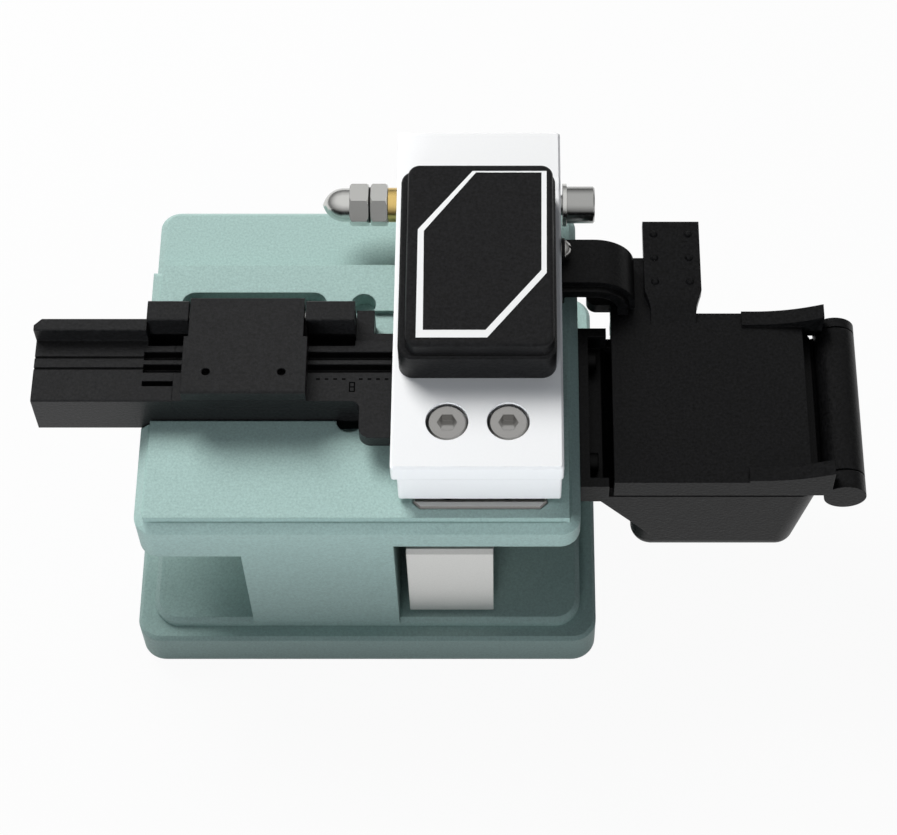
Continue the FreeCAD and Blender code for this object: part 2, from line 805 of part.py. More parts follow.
def lid_magnets():
    middle = (lid_left + lid_right) / 2
    centres = [middle + side * lid_hole_spacing for side in (-0.5, 0.5)]
    return [rod((x, lid_hole_y, lid_underside), (0, 0, 1), lid_magnet_radius, lid_magnet_height) for x in centres]


# ---------------------------------------------------------------- rail, stop and hinge of the frame
def rail_screw_holes():
    return [screw_hole(M1_6, rail_screw_length, (carriage_mid, y, rail_screw_seat), (0, 0, 1), 5.0) for y in rail_screw_ys]


def slide_rail():
    half = rail_gauge / 2
    bottom = plinth_top
    top = bottom + rail_height
    bar = prism_y([(carriage_mid - half, bottom), (carriage_mid + half, bottom), (carriage_mid + half, top, 0.3),
                   (carriage_mid - half, top, 0.3)], (rail_front_end, rail_rear_end))
    groove_z = (bottom + top) / 2 + 0.4
    length = rail_rear_end - rail_front_end + 2
    tools = [rod((carriage_mid + side * half, rail_front_end - 1, groove_z), (0, 1, 0), rail_groove_radius, length)
             for side in (-1, 1)]
    return carve(bar, tools + rail_screw_holes())


def rail_screws():
    return [cap_screw(M1_6, rail_screw_length, (carriage_mid, y, rail_screw_seat), (0, 0, 1)) for y in rail_screw_ys]


def stop_face():
    return carriage_rear + carriage_travel + stop_gap


def stop_front():
    return stop_face() + bumper_length - 1.0


def stop_screw_seat():
    return (carriage_mid, stop_front() + stop_depth / 2, base_underside + 2.5)


def bumper_z():
    return plinth_top + stop_height - 3.0


def stop_block():
    front = stop_front()
    body = slab((carriage_mid - stop_width / 2, carriage_mid + stop_width / 2), (front, front + stop_depth),
                (plinth_top, plinth_top + stop_height), 0.5)
    bumper_hole = rod((carriage_mid, front - 1, bumper_z()), (0, 1, 0), bumper_radius, 2.0)
    return carve(body, [bumper_hole, screw_hole(M2, stop_screw_length, stop_screw_seat(), (0, 0, -1), 0)])


def stop_screw():
    return [cap_screw(M2, stop_screw_length, stop_screw_seat(), (0, 0, -1))]


def stop_bumper():
    return [rod((carriage_mid, stop_face(), bumper_z()), (0, 1, 0), bumper_radius - screw_clearance, bumper_length)]


def hinge_block():
    """Post between the arm's ears; the bolt passes through its round head."""
    front = arm_axis_y - hinge_block_radius
    length = hinge_block_xs[1] - hinge_block_xs[0]
    post = block(hinge_block_xs, (front, hinge_block_rear), (rear_deck, arm_axis_z))
    head = rod((hinge_block_xs[0], arm_axis_y, arm_axis_z), (1, 0, 0), hinge_block_radius, length)
    tools = [rod((hinge_block_xs[0] - 1, arm_axis_y, arm_axis_z), (1, 0, 0), M2_5[0] + 0.03, length + 2)]
    for x in hinge_screw_xs:
        tools.append(screw_hole(M2, hinge_screw_length, (x, arm_axis_y - 0.4, hinge_screw_seat), (0, 0, -1), 0))
    return carve(join([post, head]), tools)


def hinge_block_screws():
    return [cap_screw(M2, hinge_screw_length, (x, arm_axis_y - 0.4, hinge_screw_seat), (0, 0, -1)) for x in hinge_screw_xs]


def left_ear_xs():
    left = arm_left + foot_side_inset_left
    return (left, left + ear_width)


def right_ear_xs():
    right = arm_right - foot_side_inset_right
    return (right - ear_width, right)


sleeve_left = left_ear_xs()[1] - sleeve_length
jam_nut_left = sleeve_left - nut_width - 0.06
acorn_right = jam_nut_left - nut_gap
washer_left = arm_right + 0.3
bolt_seat = washer_left + washer_thickness


def hinge_bolt():
    """Socket head bolt that carries the arm; its thread ends inside the domed nut."""
    size = (M2_5[0], M2_5[1], bolt_head_length, M2_5[3])
    return [cap_screw(size, bolt_seat - acorn_right + acorn_width - 0.4, (bolt_seat, arm_axis_y, arm_axis_z), (1, 0, 0))]


def ring_on_axis(left, width, outer):
    ring = rod((left, arm_axis_y, arm_axis_z), (1, 0, 0), outer, width)
    return ring.cut(rod((left - 1, arm_axis_y, arm_axis_z), (1, 0, 0), M2_5[0] + 0.03, width + 2))


def nut_on_axis(left, width):
    """Hexagon nut with turned corners."""
    corner = nut_flats / math.sqrt(3)
    crown = Part.makeCylinder(corner, width)
    crown = crown.makeChamfer(0.25, [e for e in crown.Edges if len(e.Vertexes) == 1])
    nut = hexagon(nut_flats, width, nut_turn).common(crown)
    return aim(nut, (left, arm_axis_y, arm_axis_z), (1, 0, 0))


def jam_nut():
    hole = rod((jam_nut_left - 1, arm_axis_y, arm_axis_z), (1, 0, 0), M2_5[0] + 0.03, nut_width + 2)
    return nut_on_axis(jam_nut_left, nut_width).cut(hole)


def acorn_nut():
    """Closed nut with a polished dome, outermost on the bolt."""
    left = acorn_right - acorn_width
    shoulder = vec(dome_radius, 0, dome_neck)
    waist = vec(dome_radius * 0.76, 0, dome_neck + (dome_length - dome_neck) * 0.57)
    ogive = Part.BSplineCurve()
    ogive.interpolate([shoulder, waist, vec(0, 0, dome_length)])
    foot = vec(0, 0, -0.15)
    profile = Part.Wire([
        Part.makeLine(foot, vec(dome_radius, 0, foot.z)),
        Part.makeLine(vec(dome_radius, 0, foot.z), shoulder),
        ogive.toShape(),
        Part.makeLine(vec(0, 0, dome_length), foot)])
    dome = Part.Face(profile).revolve(foot, vec(0, 0, 1), 360)
    nut = nut_on_axis(left, acorn_width).fuse(aim(dome, (left, arm_axis_y, arm_axis_z), (-1, 0, 0)))
    hole = rod((left + 0.3, arm_axis_y, arm_axis_z), (1, 0, 0), M2_5[0] + 0.03, acorn_width)
    return nut.cut(hole)


# ---------------------------------------------------------------- press arm
def boss_limits():
    """Left and right limits of the two bosses under the arm that take the screw heads."""
    half_slot = arm_foot_slot / 2 + 0.3
    left = guide_lobe_right + arm_foot_relief + 0.3
    return ((left, blade_x - half_slot), (blade_x + half_slot, 2 * blade_x - left))


def boss_ys():
    return (arm_screw_y - boss_front_wall, arm_foot_rear - 0.3)


def cap_screw_places():
    return [(x, cap_front + cap_length / 2) for x in (cap_left + cap_screw_inset, cap_right - cap_screw_inset)]


def arm_plate():
    """Top of the arm with the two ears that hang on the hinge bolt."""
    plate = slab((arm_left, arm_right), (arm_front, arm_rear), (arm_underside, arm_top), 0.4)
    plate = bevel_top(plate, arm_top, arm_bevel)
    solids = [plate]
    for sides in (left_ear_xs(), right_ear_xs()):
        length = sides[1] - sides[0]
        solids.append(rod((sides[0], arm_axis_y, arm_axis_z), (1, 0, 0), ear_radius, length))
        solids.append(block(sides, (arm_axis_y - ear_radius, arm_axis_y + ear_radius), (arm_axis_z, arm_underside + 0.5)))
    for sides in boss_limits():
        solids.append(block(sides, boss_ys(), (arm_underside - boss_height, arm_underside + 0.5)))
    whole = join(solids)
    left_ear = left_ear_xs()
    right_ear = right_ear_xs()
    tools = [
        rod((left_ear[1], arm_axis_y, arm_axis_z), (1, 0, 0), hinge_block_radius + 0.4, right_ear[0] - left_ear[1]),
        rod((left_ear[0] - 1, arm_axis_y, arm_axis_z), (1, 0, 0), sleeve_radius + 0.05, ear_width + 2),
        rod((right_ear[0] - 1, arm_axis_y, arm_axis_z), (1, 0, 0), M2_5[0] + 0.05, ear_width + 2)]
    for x in pad_centres:
        tools.append(block((x - pad_width / 2, x + pad_width / 2), (pad_front, pad_front + pad_depth),
                           (arm_underside - 1, upper_pad_bottom + pad_thickness)))
    for x in arm_screw_xs:
        tools.append(screw_hole(M2_5, arm_screw_length, (x, arm_screw_y, arm_top - arm_screw_sink), (0, 0, 1), arm_screw_sink + 1))
    for x, y in cap_screw_places():
        tools.append(screw_hole(M1_6, cap_screw_length, (x, y, cap_screw_seat), (0, 0, -1), 2.0))
    tools.append(screw_hole(PAN_SMALL, 3.0, finger_screw_seat(), (1, 0, 0), 0))
    tools += anvil_room()
    return carve(whole, tools)


def anvil_room():
    """Pocket under the arm in which the sprung anvil travels, and the slot for its stem."""
    half = anvil_width / 2 + anvil_clearance
    bar_top = anvil_bottom + anvil_clearance + anvil_bar_thickness
    front = fibre_y - anvil_depth / 2 - anvil_clearance
    rear = anvil_bar_rear + anvil_clearance
    pocket = block((blade_x - half, blade_x + half), (front, rear), (arm_underside - 2, bar_top + anvil_travel + 0.15))
    stem = block((blade_x - half, blade_x + half), (anvil_bar_rear - 2.0 - anvil_clearance, rear), (arm_underside, arm_top + 1))
    return [pocket, stem]


def anvil():
    """Steel bar that bends the scored fibre; its stem stands in the spring under the cap."""
    half = anvil_width / 2
    sides = (blade_x - half, blade_x + half)
    bar_bottom = anvil_bottom + anvil_clearance
    bar_top = bar_bottom + anvil_bar_thickness
    nose = prism_x([(fibre_y - anvil_depth / 2, bar_top), (fibre_y - anvil_depth / 2, bar_bottom),
                    (fibre_y - 0.35, anvil_bottom), (fibre_y + 0.35, anvil_bottom),
                    (fibre_y + anvil_depth / 2, bar_bottom), (anvil_bar_rear, bar_bottom), (anvil_bar_rear, bar_top)], sides)
    stem = block(sides, (anvil_bar_rear - 2.0, anvil_bar_rear), (bar_top - 0.2, arm_top + anvil_stem_height))
    collar_bottom = arm_top + 0.1
    collar = block((sides[0] - anvil_collar, sides[1] + anvil_collar), (anvil_bar_rear - 2.0, anvil_bar_rear),
                   (collar_bottom, collar_bottom + anvil_collar_height))
    return join([nose, stem, collar])


def helix(radius, pitch, height, wire):
    """Coil of square wire that rises from the origin."""
    spine = Part.makeHelix(pitch, height, radius)
    half = wire / 2
    corners = [vec(radius + a * half, 0, b * half) for a, b in ((-1, -1), (1, -1), (1, 1), (-1, 1), (-1, -1))]
    return Part.Wire(spine.Edges).makePipeShell([Part.makePolygon(corners)], True, True)


def anvil_spring():
    bottom = arm_top + 0.1 + anvil_collar_height + 0.25
    top = arm_top + cap_lower_height + cap_upper_height - cap_wall - 0.25
    coil = helix(1.75, (top - bottom) / 3, top - bottom, 0.4)
    coil.translate(vec(blade_x, anvil_bar_rear - 1.0, bottom))
    return [coil]


def arm_foot():
    """White block under the arm's front end."""
    left = arm_left + foot_side_inset_left
    right = arm_right - foot_side_inset_right
    body = slab((left, right), (arm_front, arm_foot_rear), (foot_bottom, arm_underside), 0.3)
    lobe_right = guide_lobe_right + arm_foot_relief
    lobe_front = platform_front - guide_lobe_reach - arm_foot_relief
    reach = foot_bottom - 1
    half_slot = arm_foot_slot / 2
    tools = [block((left - 1, lobe_right), (lobe_front, arm_foot_rear + 1), (reach, arm_underside + 1)),
             block((blade_x - half_slot, blade_x + half_slot), (blade_slot_front, arm_foot_rear + 1), (reach, arm_underside + 1))]
    bosses = boss_limits()
    for sides in bosses:
        room = (sides[0] - screw_clearance, sides[1] + screw_clearance)
        ys = (boss_ys()[0] - screw_clearance, boss_ys()[1] + screw_clearance)
        tools.append(block(room, ys, (arm_underside - boss_height - screw_clearance, arm_underside + 1)))
    for x in arm_screw_xs:
        tools.append(screw_hole(M2_5, arm_screw_length, (x, arm_screw_y, arm_top - arm_screw_sink), (0, 0, 1), 0))
        tools.append(rod((x, magnet_y(), foot_bottom - 1), (0, 0, 1), arm_magnet_radius, arm_magnet_height + 1))
    return carve(body, tools)


def magnet_y():
    return (arm_front + blade_slot_front) / 2


def arm_magnets():
    radius = arm_magnet_radius - screw_clearance
    return [rod((x, magnet_y(), foot_bottom), (0, 0, 1), radius, arm_magnet_height) for x in arm_screw_xs]


def arm_screws():
    seat_z = arm_top - arm_screw_sink
    return [cap_screw(M2_5, arm_screw_length, (x, arm_screw_y, seat_z), (0, 0, 1)) for x in arm_screw_xs]


def upper_pads():
    pads = []
    for x in pad_centres:
        half = pad_width / 2 - screw_clearance
        ys = (pad_front + screw_clearance, pad_front + pad_depth - screw_clearance)
        pads.append(block((x - half, x + half), ys, (upper_pad_bottom, upper_pad_bottom + pad_thickness)))
    return pads


def arm_cap():
    """Moulded cap over the spring of the anvil: two tiers with a small step between them."""
    sides = (cap_left, cap_right)
    ends = (cap_front, cap_front + cap_length)
    middle = arm_top + cap_lower_height
    top = middle + cap_upper_height
    lower = bevel_top(slab(sides, ends, (arm_top, middle), cap_corner), middle, 0.25)
    upper = slab((sides[0] + cap_step_left, sides[1] - cap_step_right), (ends[0] + cap_step_end, ends[1] - cap_step_end),
                 (middle - 1, top), cap_upper_corner)
    upper = round_top(upper, top, cap_round)
    hollow = slab((sides[0] + cap_wall, sides[1] - cap_wall), (ends[0] + cap_wall, ends[1] - cap_wall),
                  (arm_top - 1, top - cap_wall), 0.6)
    shell = join([lower, upper]).cut(hollow)
    posts = [rod((x, y, arm_top), (0, 0, 1), cap_post_radius, top - cap_wall - arm_top + 0.5) for x, y in cap_screw_places()]
    holes = [screw_hole(M1_6, cap_screw_length, (x, y, cap_screw_seat), (0, 0, -1), 0) for x, y in cap_screw_places()]
    return carve(join([shell] + posts), holes)


def cap_screws():
    return [cap_screw(M1_6, cap_screw_length, (x, y, cap_screw_seat), (0, 0, -1)) for x, y in cap_screw_places()]


def finger_screw_seat():
    return (finger_left + finger_flange, finger_front + finger_screw_inset, arm_underside + finger_top_rise + PAN_SMALL[1] + 0.1)


def finger():
    """Bent lever on the arm's cheek whose nose keeps the bin cover down."""
    left = finger_left
    right = finger_right
    top = arm_underside + finger_top_rise
    nose = cover_top + finger_nose
    inner = finger_bend_radius - finger_thickness
    under = [(right - finger_thickness, top - finger_thickness, inner), (left + finger_flange, top - finger_thickness, 0.2),
             (left + finger_flange, top - finger_skirt), (left, top - finger_skirt)]
    points = [(left, top), (right, top, finger_bend_radius), (right, nose, 0.3), (right - finger_thickness, nose, 0.3)]
    lever = prism_y(points + under, (finger_front, finger_front + finger_depth))
    shelf_right = right - finger_ledge
    points = [(left, top - finger_ledge), (shelf_right, top - finger_ledge, finger_bend_radius - finger_ledge),
              (shelf_right, nose, 0.2), (right - finger_thickness, nose, 0.2)]
    shelf = prism_y(points + under, (finger_front - finger_ledge, finger_front + 0.5))
    seat = finger_screw_seat()
    ear = rod((left, seat[1], seat[2]), (1, 0, 0), finger_ear_radius, finger_flange)
    neck = block((left, left + finger_flange), (seat[1] - finger_ear_radius, seat[1] + finger_ear_radius), (top - 1.0, seat[2]))
    return join([lever, shelf, ear, neck]).cut(screw_hole(PAN_SMALL, 3.0, seat, (1, 0, 0), 0))


def finger_screw():
    """Round-head screw."""
    head = Part.makeSphere(1.3, vec(0, 0, -0.4)).common(Part.makeCylinder(PAN_SMALL[1], 2.0))
    slot = Part.makeBox(3.2, 0.35, 1.0, vec(-1.6, -0.175, 0.5))
    screw = head.cut(slot).fuse(Part.makeCylinder(PAN_SMALL[0], 3.0, vec(0, 0, -3.0)))
    return [aim(screw.removeSplitter(), finger_screw_seat(), (1, 0, 0))]


# ---------------------------------------------------------------- carriage and blade
def runner_ys():
    rear = carriage_rear - 0.2
    return (rear - runner_length, rear)


def runner_screw_places():
    front, rear = runner_ys()
    return [(carriage_mid, front + runner_screw_inset), (carriage_mid, rear - runner_screw_inset)]


runner_screw_inset = 2.2
runner_screw_bridge = 2.0
runner_screw_seat = carriage_bottom + runner_height + runner_screw_bridge
runner_screw_length = 3.3
holder_left = blade_x - blade_thickness / 2 - holder_gap - holder_thickness
holder_screw_margin = 2.0
holder_screw_spacing = 5.2
holder_screw_x = holder_foot_left + holder_screw_margin
holder_screw_ys = (blade_rest_y - holder_screw_spacing / 2, blade_rest_y + holder_screw_spacing / 2)
holder_screw_length = 4.0


def carriage_block():
    """Silver block that the operator pushes; the runner sits in a pocket under it."""
    sides = (carriage_left, carriage_left + carriage_width)
    body = prism_x([(carriage_front, carriage_bottom), (carriage_rear, carriage_bottom), (carriage_rear, carriage_top),
                    (carriage_front + carriage_bevel, carriage_top), (carriage_front, carriage_top - carriage_bevel)], sides)
    half = runner_width / 2 + screw_clearance
    tools = [block((carriage_mid - half, carriage_mid + half), (carriage_front + carriage_front_wall, carriage_rear + 1),
                   (carriage_bottom - 1, carriage_bottom + runner_height))]
    for x, y in runner_screw_places():
        tools.append(screw_hole(M1_6, runner_screw_length, (x, y, runner_screw_seat), (0, 0, 1), carriage_height))
    for y in holder_screw_ys:
        seat = (holder_screw_x, y, carriage_top + holder_foot_thickness)
        tools.append(screw_hole(M1_6, holder_screw_length, seat, (0, 0, 1), 0))
    return carve(body, tools)


def carriage_runner():
    front, rear = runner_ys()
    half = runner_width / 2
    body = block((carriage_mid - half, carriage_mid + half), (front, rear), (carriage_bottom, carriage_bottom + runner_height))
    half_rail = rail_gauge / 2 + running_gap
    tools = [block((carriage_mid - half_rail, carriage_mid + half_rail), (front - 1, rear + 1),
                   (carriage_bottom - 1, plinth_top + rail_height + running_gap))]
    for x, y in runner_screw_places():
        tools.append(screw_hole(M1_6, runner_screw_length, (x, y, runner_screw_seat), (0, 0, 1), 0))
    return carve(body, tools)


def runner_screws():
    return [cap_screw(M1_6, runner_screw_length, (x, y, runner_screw_seat), (0, 0, 1)) for x, y in runner_screw_places()]


def blade_holder():
    """Angle bracket that stands in the slot of the deck and carries the wheel."""
    right = holder_left + holder_thickness
    ys = (blade_rest_y - holder_half_depth, blade_rest_y + holder_half_depth)
    base = block((holder_foot_left, right), ys, (carriage_top, carriage_top + holder_foot_thickness))
    cheek = prism_x([(ys[0], carriage_top), (ys[1], carriage_top), (blade_rest_y + holder_top_radius, blade_z),
                     (blade_rest_y - holder_top_radius, blade_z)], (holder_left, right))
    head = rod((holder_left, blade_rest_y, blade_z), (1, 0, 0), holder_top_radius, holder_thickness)
    tools = [rod((holder_left - 1, blade_rest_y, blade_z), (1, 0, 0), 1.02, holder_thickness + 2)]
    for y in holder_screw_ys:
        seat = (holder_screw_x, y, carriage_top + holder_foot_thickness)
        tools.append(screw_hole(M1_6, holder_screw_length, seat, (0, 0, 1), 3.0))
    return carve(join([base, cheek, head]), tools)


def holder_screws():
    seat_z = carriage_top + holder_foot_thickness
    return [cap_screw(M1_6, holder_screw_length, (holder_screw_x, y, seat_z), (0, 0, 1)) for y in holder_screw_ys]


def blade_axle():
    """Shoulder screw on which the wheel is turned to a fresh stretch of edge."""
    seat = blade_x + blade_thickness / 2 + holder_gap
    size = (blade_bore - axle_clearance, axle_head_radius, axle_head_width, 1.5)
    screw = cap_screw(size, seat - holder_left - holder_thickness, (seat, blade_rest_y, blade_z), (1, 0, 0))
    return [screw.fuse(rod((holder_left + 0.1, blade_rest_y, blade_z), (1, 0, 0), 1.0, holder_thickness + 0.5))]


def blade_wheel():
    """Round blade with a ground edge on both sides."""
    half = blade_thickness / 2
    shoulder = blade_radius - blade_edge
    points = [(-half, blade_bore), (half, blade_bore), (half, shoulder), (0, blade_radius), (-half, shoulder)]
    wire = outline(points, lambda a, b: vec(blade_x + a, blade_rest_y + b, blade_z))
    wheel = Part.Face(wire).revolve(vec(blade_x, blade_rest_y, blade_z), vec(1, 0, 0), 360)
    return [wheel]


# ---------------------------------------------------------------- scrap bin
def bin_profile():
    """Outside of the bin seen along Y: flange, chute, body and the slope up to the hinge."""
    ledge_bottom = channel_ceiling - chute_drop
    flange_top = rim_top - rim_bevel
    left = deck_half
    return [(left, ledge_bottom), (left + bin_flange_thickness + bin_flange_foot, ledge_bottom), (bin_floor_left, chute_outer_bottom),
            (bin_floor_left, bin_bottom, bin_corner), (bin_floor_right, bin_bottom, bin_corner),
            (bin_mouth_right, bin_rim - bin_mouth_lip), (bin_mouth_right, bin_rim), (inlet_right, bin_rim), (inlet_right, flange_top),
            (left, flange_top)]


def bin_box():
    """Open box that hangs from the right edge of the deck and catches the cut ends."""
    outer = prism_y(bin_profile(), (bin_front, bin_rear))
    above = rim_top + 1
    outer = outer.cut(block((deck_half - 1, inlet_corner_left), (bin_flange_rear, bin_rear + 1), (bin_bottom, above)))
    inside_left = deck_half + bin_flange_thickness
    ledge_top = channel_ceiling - chute_drop + chute_floor
    inner_left = bin_floor_left + bin_wall
    inside = [(inside_left, above), (inside_left, ledge_top), (inside_left + chute_ledge, ledge_top),
              (inner_left, chute_outer_bottom), (inner_left, bin_bottom + bin_wall, bin_corner - 1.0),
              (bin_floor_right - bin_wall, bin_bottom + bin_wall, bin_corner - 1.0),
              (bin_mouth_right - bin_wall, bin_rim - bin_mouth_lip), (bin_mouth_right - bin_wall, above)]
    inlet_part = prism_y(inside, (bin_front + bin_wall, bin_flange_rear - bin_wall))
    rear_part = prism_y(inside, (bin_flange_rear - bin_wall - 0.5, bin_rear - bin_wall))
    rear_part = rear_part.cut(block((inside_left - 1, inlet_corner_left + bin_wall), (bin_front, bin_rear), (bin_bottom, above)))
    shell = carve(outer, [inlet_part, rear_part])
    shell = shell.makeFillet(bin_side_round, upright_corner_edges(shell, (bin_front, bin_rear)))
    web = prism_y([(bin_mouth_right - bin_wall, bin_rim - 4.5), (bin_mouth_right - 0.5, bin_rim - 4.5, 1.0),
                   (barrel_x, barrel_z - barrel_radius + 0.02), (barrel_x, barrel_z),
                   (barrel_x - barrel_radius + 0.1, barrel_z), (bin_mouth_right - bin_wall, bin_rim - 1.0)],
                  (barrel_front, barrel_rear))
    barrel = rod((barrel_x, barrel_front, barrel_z), (0, 1, 0), barrel_radius, barrel_rear - barrel_front)
    tools = [rod((barrel_x, barrel_front - 1, barrel_z), (0, 1, 0), barrel_pin_radius + 0.02, barrel_rear - barrel_front + 2),
             rod((barrel_x, barrel_front - 1, barrel_z), (0, 1, 0), spring_coil_radius + spring_wire / 2 + 0.2, spring_pocket + 1)]
    for y in bin_screw_ys:
        tools.append(screw_hole(PAN_SMALL, bin_screw_length, (inside_left, y, bin_screw_z), (1, 0, 0), 0))
    return carve(join([shell, web, barrel]), tools)


def upright_corner_edges(shape, ys):
    """The slanting edges where the walls at the given depths meet the right wall."""
    picked = []
    for edge in shape.Edges:
        box = edge.BoundBox
        tall = box.ZLength > 5 and box.YLength < 1e-3
        on_wall = min(abs(box.YMin - y) for y in ys) < 1e-3
        if tall and on_wall and box.XMin > bin_floor_right - bin_wall - 1:
            picked.append(edge)
    return picked


def bin_screws():
    seats = [(deck_half + bin_flange_thickness, y, bin_screw_z) for y in bin_screw_ys]
    return [cap_screw(PAN_SMALL, bin_screw_length, seat, (1, 0, 0)) for seat in seats]


def bin_pin():
    start = bin_front + 0.9
    end = bin_rear - 0.4
    return [rod((barrel_x, start, barrel_z), (0, 1, 0), barrel_pin_radius, end - start)]


def bin_spring():
    length = spring_pocket - 1.0
    coil = helix(spring_coil_radius, length / 3, length, spring_wire)
    return [aim(coil, (barrel_x, barrel_front + 0.5, barrel_z), (0, 1, 0))]


def cover_horn(ys):
    """Side wall of the cover that sweeps up over the hinge and stops short."""
    points = [(horn_root, cover_underside), (bin_mouth_right + rim_gap, cover_underside), (barrel_x - 1.6, barrel_z - 1.5),
              (barrel_x, barrel_z), (horn_tip, barrel_z + 1.5), (horn_tip, cover_top), (horn_root, cover_top)]
    return prism_y(points, ys)


def cover_strip(ys):
    """Raised strip along the cover's edge; it rises into the top of the horn."""
    bottom = cover_top - 1.0
    top = cover_top + strip_rise
    points = [(horn_root, bottom), (horn_tip, bottom), (horn_tip, horn_top), (horn_tip - horn_bend, top, horn_sweep), (horn_root, top)]
    return prism_y(points, ys)


def bin_cover():
    """Sprung lid of the bin, with a ribbed tab for the thumb and a lug under the finger."""
    rear = bin_rear - 0.1
    sides = (cover_left, cover_right)
    plate = block(sides, (bin_front, rear), (cover_top - cover_plate, cover_top))
    front_skirt = block(sides, (bin_front, bin_front + cover_wall), (cover_underside, cover_top))
    rear_skirt = block(sides, (rear - cover_wall, rear), (cover_underside, cover_top))
    solids = [plate, front_skirt, rear_skirt]
    solids.append(cover_horn((bin_front, bin_front + cover_wall)))
    solids.append(cover_horn((rear - cover_wall, rear)))
    solids.append(cover_strip((bin_front, bin_front + strip_width)))
    solids.append(cover_strip((rear - strip_width, rear)))
    solids.append(rod((barrel_x, bin_front, barrel_z), (0, 1, 0), barrel_radius, front_knuckle))
    solids.append(rod((barrel_x, bin_rear - rear_knuckle, barrel_z), (0, 1, 0), barrel_radius, rear_knuckle))
    lug = [(lug_left, lug_front, lug_corner), (tab_left + 1, lug_front), (tab_left + 1, lug_rear), (lug_left, lug_rear, lug_corner)]
    solids.append(prism_z(lug, (cover_top - lug_thickness, cover_top)))
    solids.append(block((cover_left, tab_left + 1), (rear - 0.5, lug_front + 0.5), (cover_top - lug_thickness, cover_top)))
    tab_top = cover_top + tab_rise
    tab_right = tab_left + tab_width
    tab = prism_x([(rear - 0.8, cover_top - cover_plate), (rear + 0.6, cover_top - cover_plate),
                   (rear + 1.6, tab_top - cover_plate), (tab_rear, tab_top - cover_plate, 0.3), (tab_rear, tab_top, 0.3),
                   (tab_front, tab_top, 0.8), (tab_front - tab_root, cover_top)], (tab_left, tab_right))
    root = tab_front - tab_root - 1
    taper = prism_z([(tab_left + tab_waist, root), (tab_right - tab_waist, root), (tab_right - tab_waist, rear + 0.4),
                     (tab_right, rear + 2.6), (tab_right, tab_rear + 1), (tab_left, tab_rear + 1), (tab_left, rear + 2.6),
                     (tab_left + tab_waist, rear + 0.4)], (cover_top - cover_plate - 1, tab_top + 1))
    solids.append(tab.common(taper))
    whole = join(solids)
    bumps = []
    for x in (tab_left + tab_bump_margin, tab_right - tab_bump_margin - 0.1):
        for row in range(3):
            y = tab_rear - 2.0 - tab_bump_pitch * row
            bumps.append(Part.makeSphere(bump_radius + 0.15, vec(x, y, tab_top - 0.1)))
    whole = join([whole] + bumps)
    bore = barrel_pin_radius + 0.05
    tools = [rod((barrel_x, bin_front + 0.8, barrel_z), (0, 1, 0), bore, front_knuckle),
             rod((barrel_x, bin_rear - rear_knuckle - 1, barrel_z), (0, 1, 0), bore, rear_knuckle + 1 - 0.3)]
    return carve(whole, tools)


# ---------------------------------------------------------------- all sub-parts
node("base_plate", base_plate())
node("rubber_mat", rubber_mat())
node("base_screws", base_screws())
node("body_frame", body_frame())
node("keeper_plate", keeper_plate())
node("fibre_platform", fibre_platform())
node("guide_plate", guide_plate())
node("platform_screws", platform_screws())
node("platform_magnet", platform_magnet())
node("clamp_block", clamp_block())
node("clamp_block_screw", clamp_block_screw())
node("lower_pads", lower_pads())
node("lid_pin", lid_pin())
node("clamp_lid", clamp_lid())
node("lid_pad", lid_pad())
node("lid_magnets", lid_magnets())
node("slide_rail", slide_rail())
node("rail_screws", rail_screws())
node("stop_block", stop_block())
node("stop_screw", stop_screw())
node("stop_bumper", stop_bumper())
node("hinge_block", hinge_block())
node("hinge_block_screws", hinge_block_screws())
node("hinge_bolt", hinge_bolt())
node("hinge_washer", ring_on_axis(washer_left, washer_thickness, washer_radius))
node("brass_sleeve", ring_on_axis(sleeve_left, sleeve_length, sleeve_radius))
node("jam_nut", jam_nut())
node("nut_washer", ring_on_axis(acorn_right + 0.02, nut_gap - 0.04, nut_flats * 0.46))
node("acorn_nut", acorn_nut())
node("arm_plate", arm_plate())
node("arm_foot", arm_foot())
node("arm_screws", arm_screws())
node("arm_magnets", arm_magnets())
node("upper_pads", upper_pads())
node("arm_cap", arm_cap())
node("cap_screws", cap_screws())
node("anvil", anvil())
node("anvil_spring", anvil_spring())
node("finger", finger())
node("finger_screw", finger_screw())
node("carriage_block", carriage_block())
node("carriage_runner", carriage_runner())
node("runner_screws", runner_screws())
node("blade_holder", blade_holder())
node("holder_screws", holder_screws())
node("blade_axle", blade_axle())
node("blade_wheel", blade_wheel())
node("bin_box", bin_box())
node("bin_screws", bin_screws())
node("bin_pin", bin_pin())
node("bin_spring", bin_spring())
node("bin_cover", bin_cover())

os.makedirs("parts", exist_ok=True)
for name, made in nodes.items():
    shape = Part.makeCompound(made) if isinstance(made, list) else made
    shape.exportStep("parts/" + name + ".step")
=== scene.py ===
"""Fibre cleaver: finishes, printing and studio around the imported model.

Metres, +Z up, +Y away from the operator.
"""
import json
import math

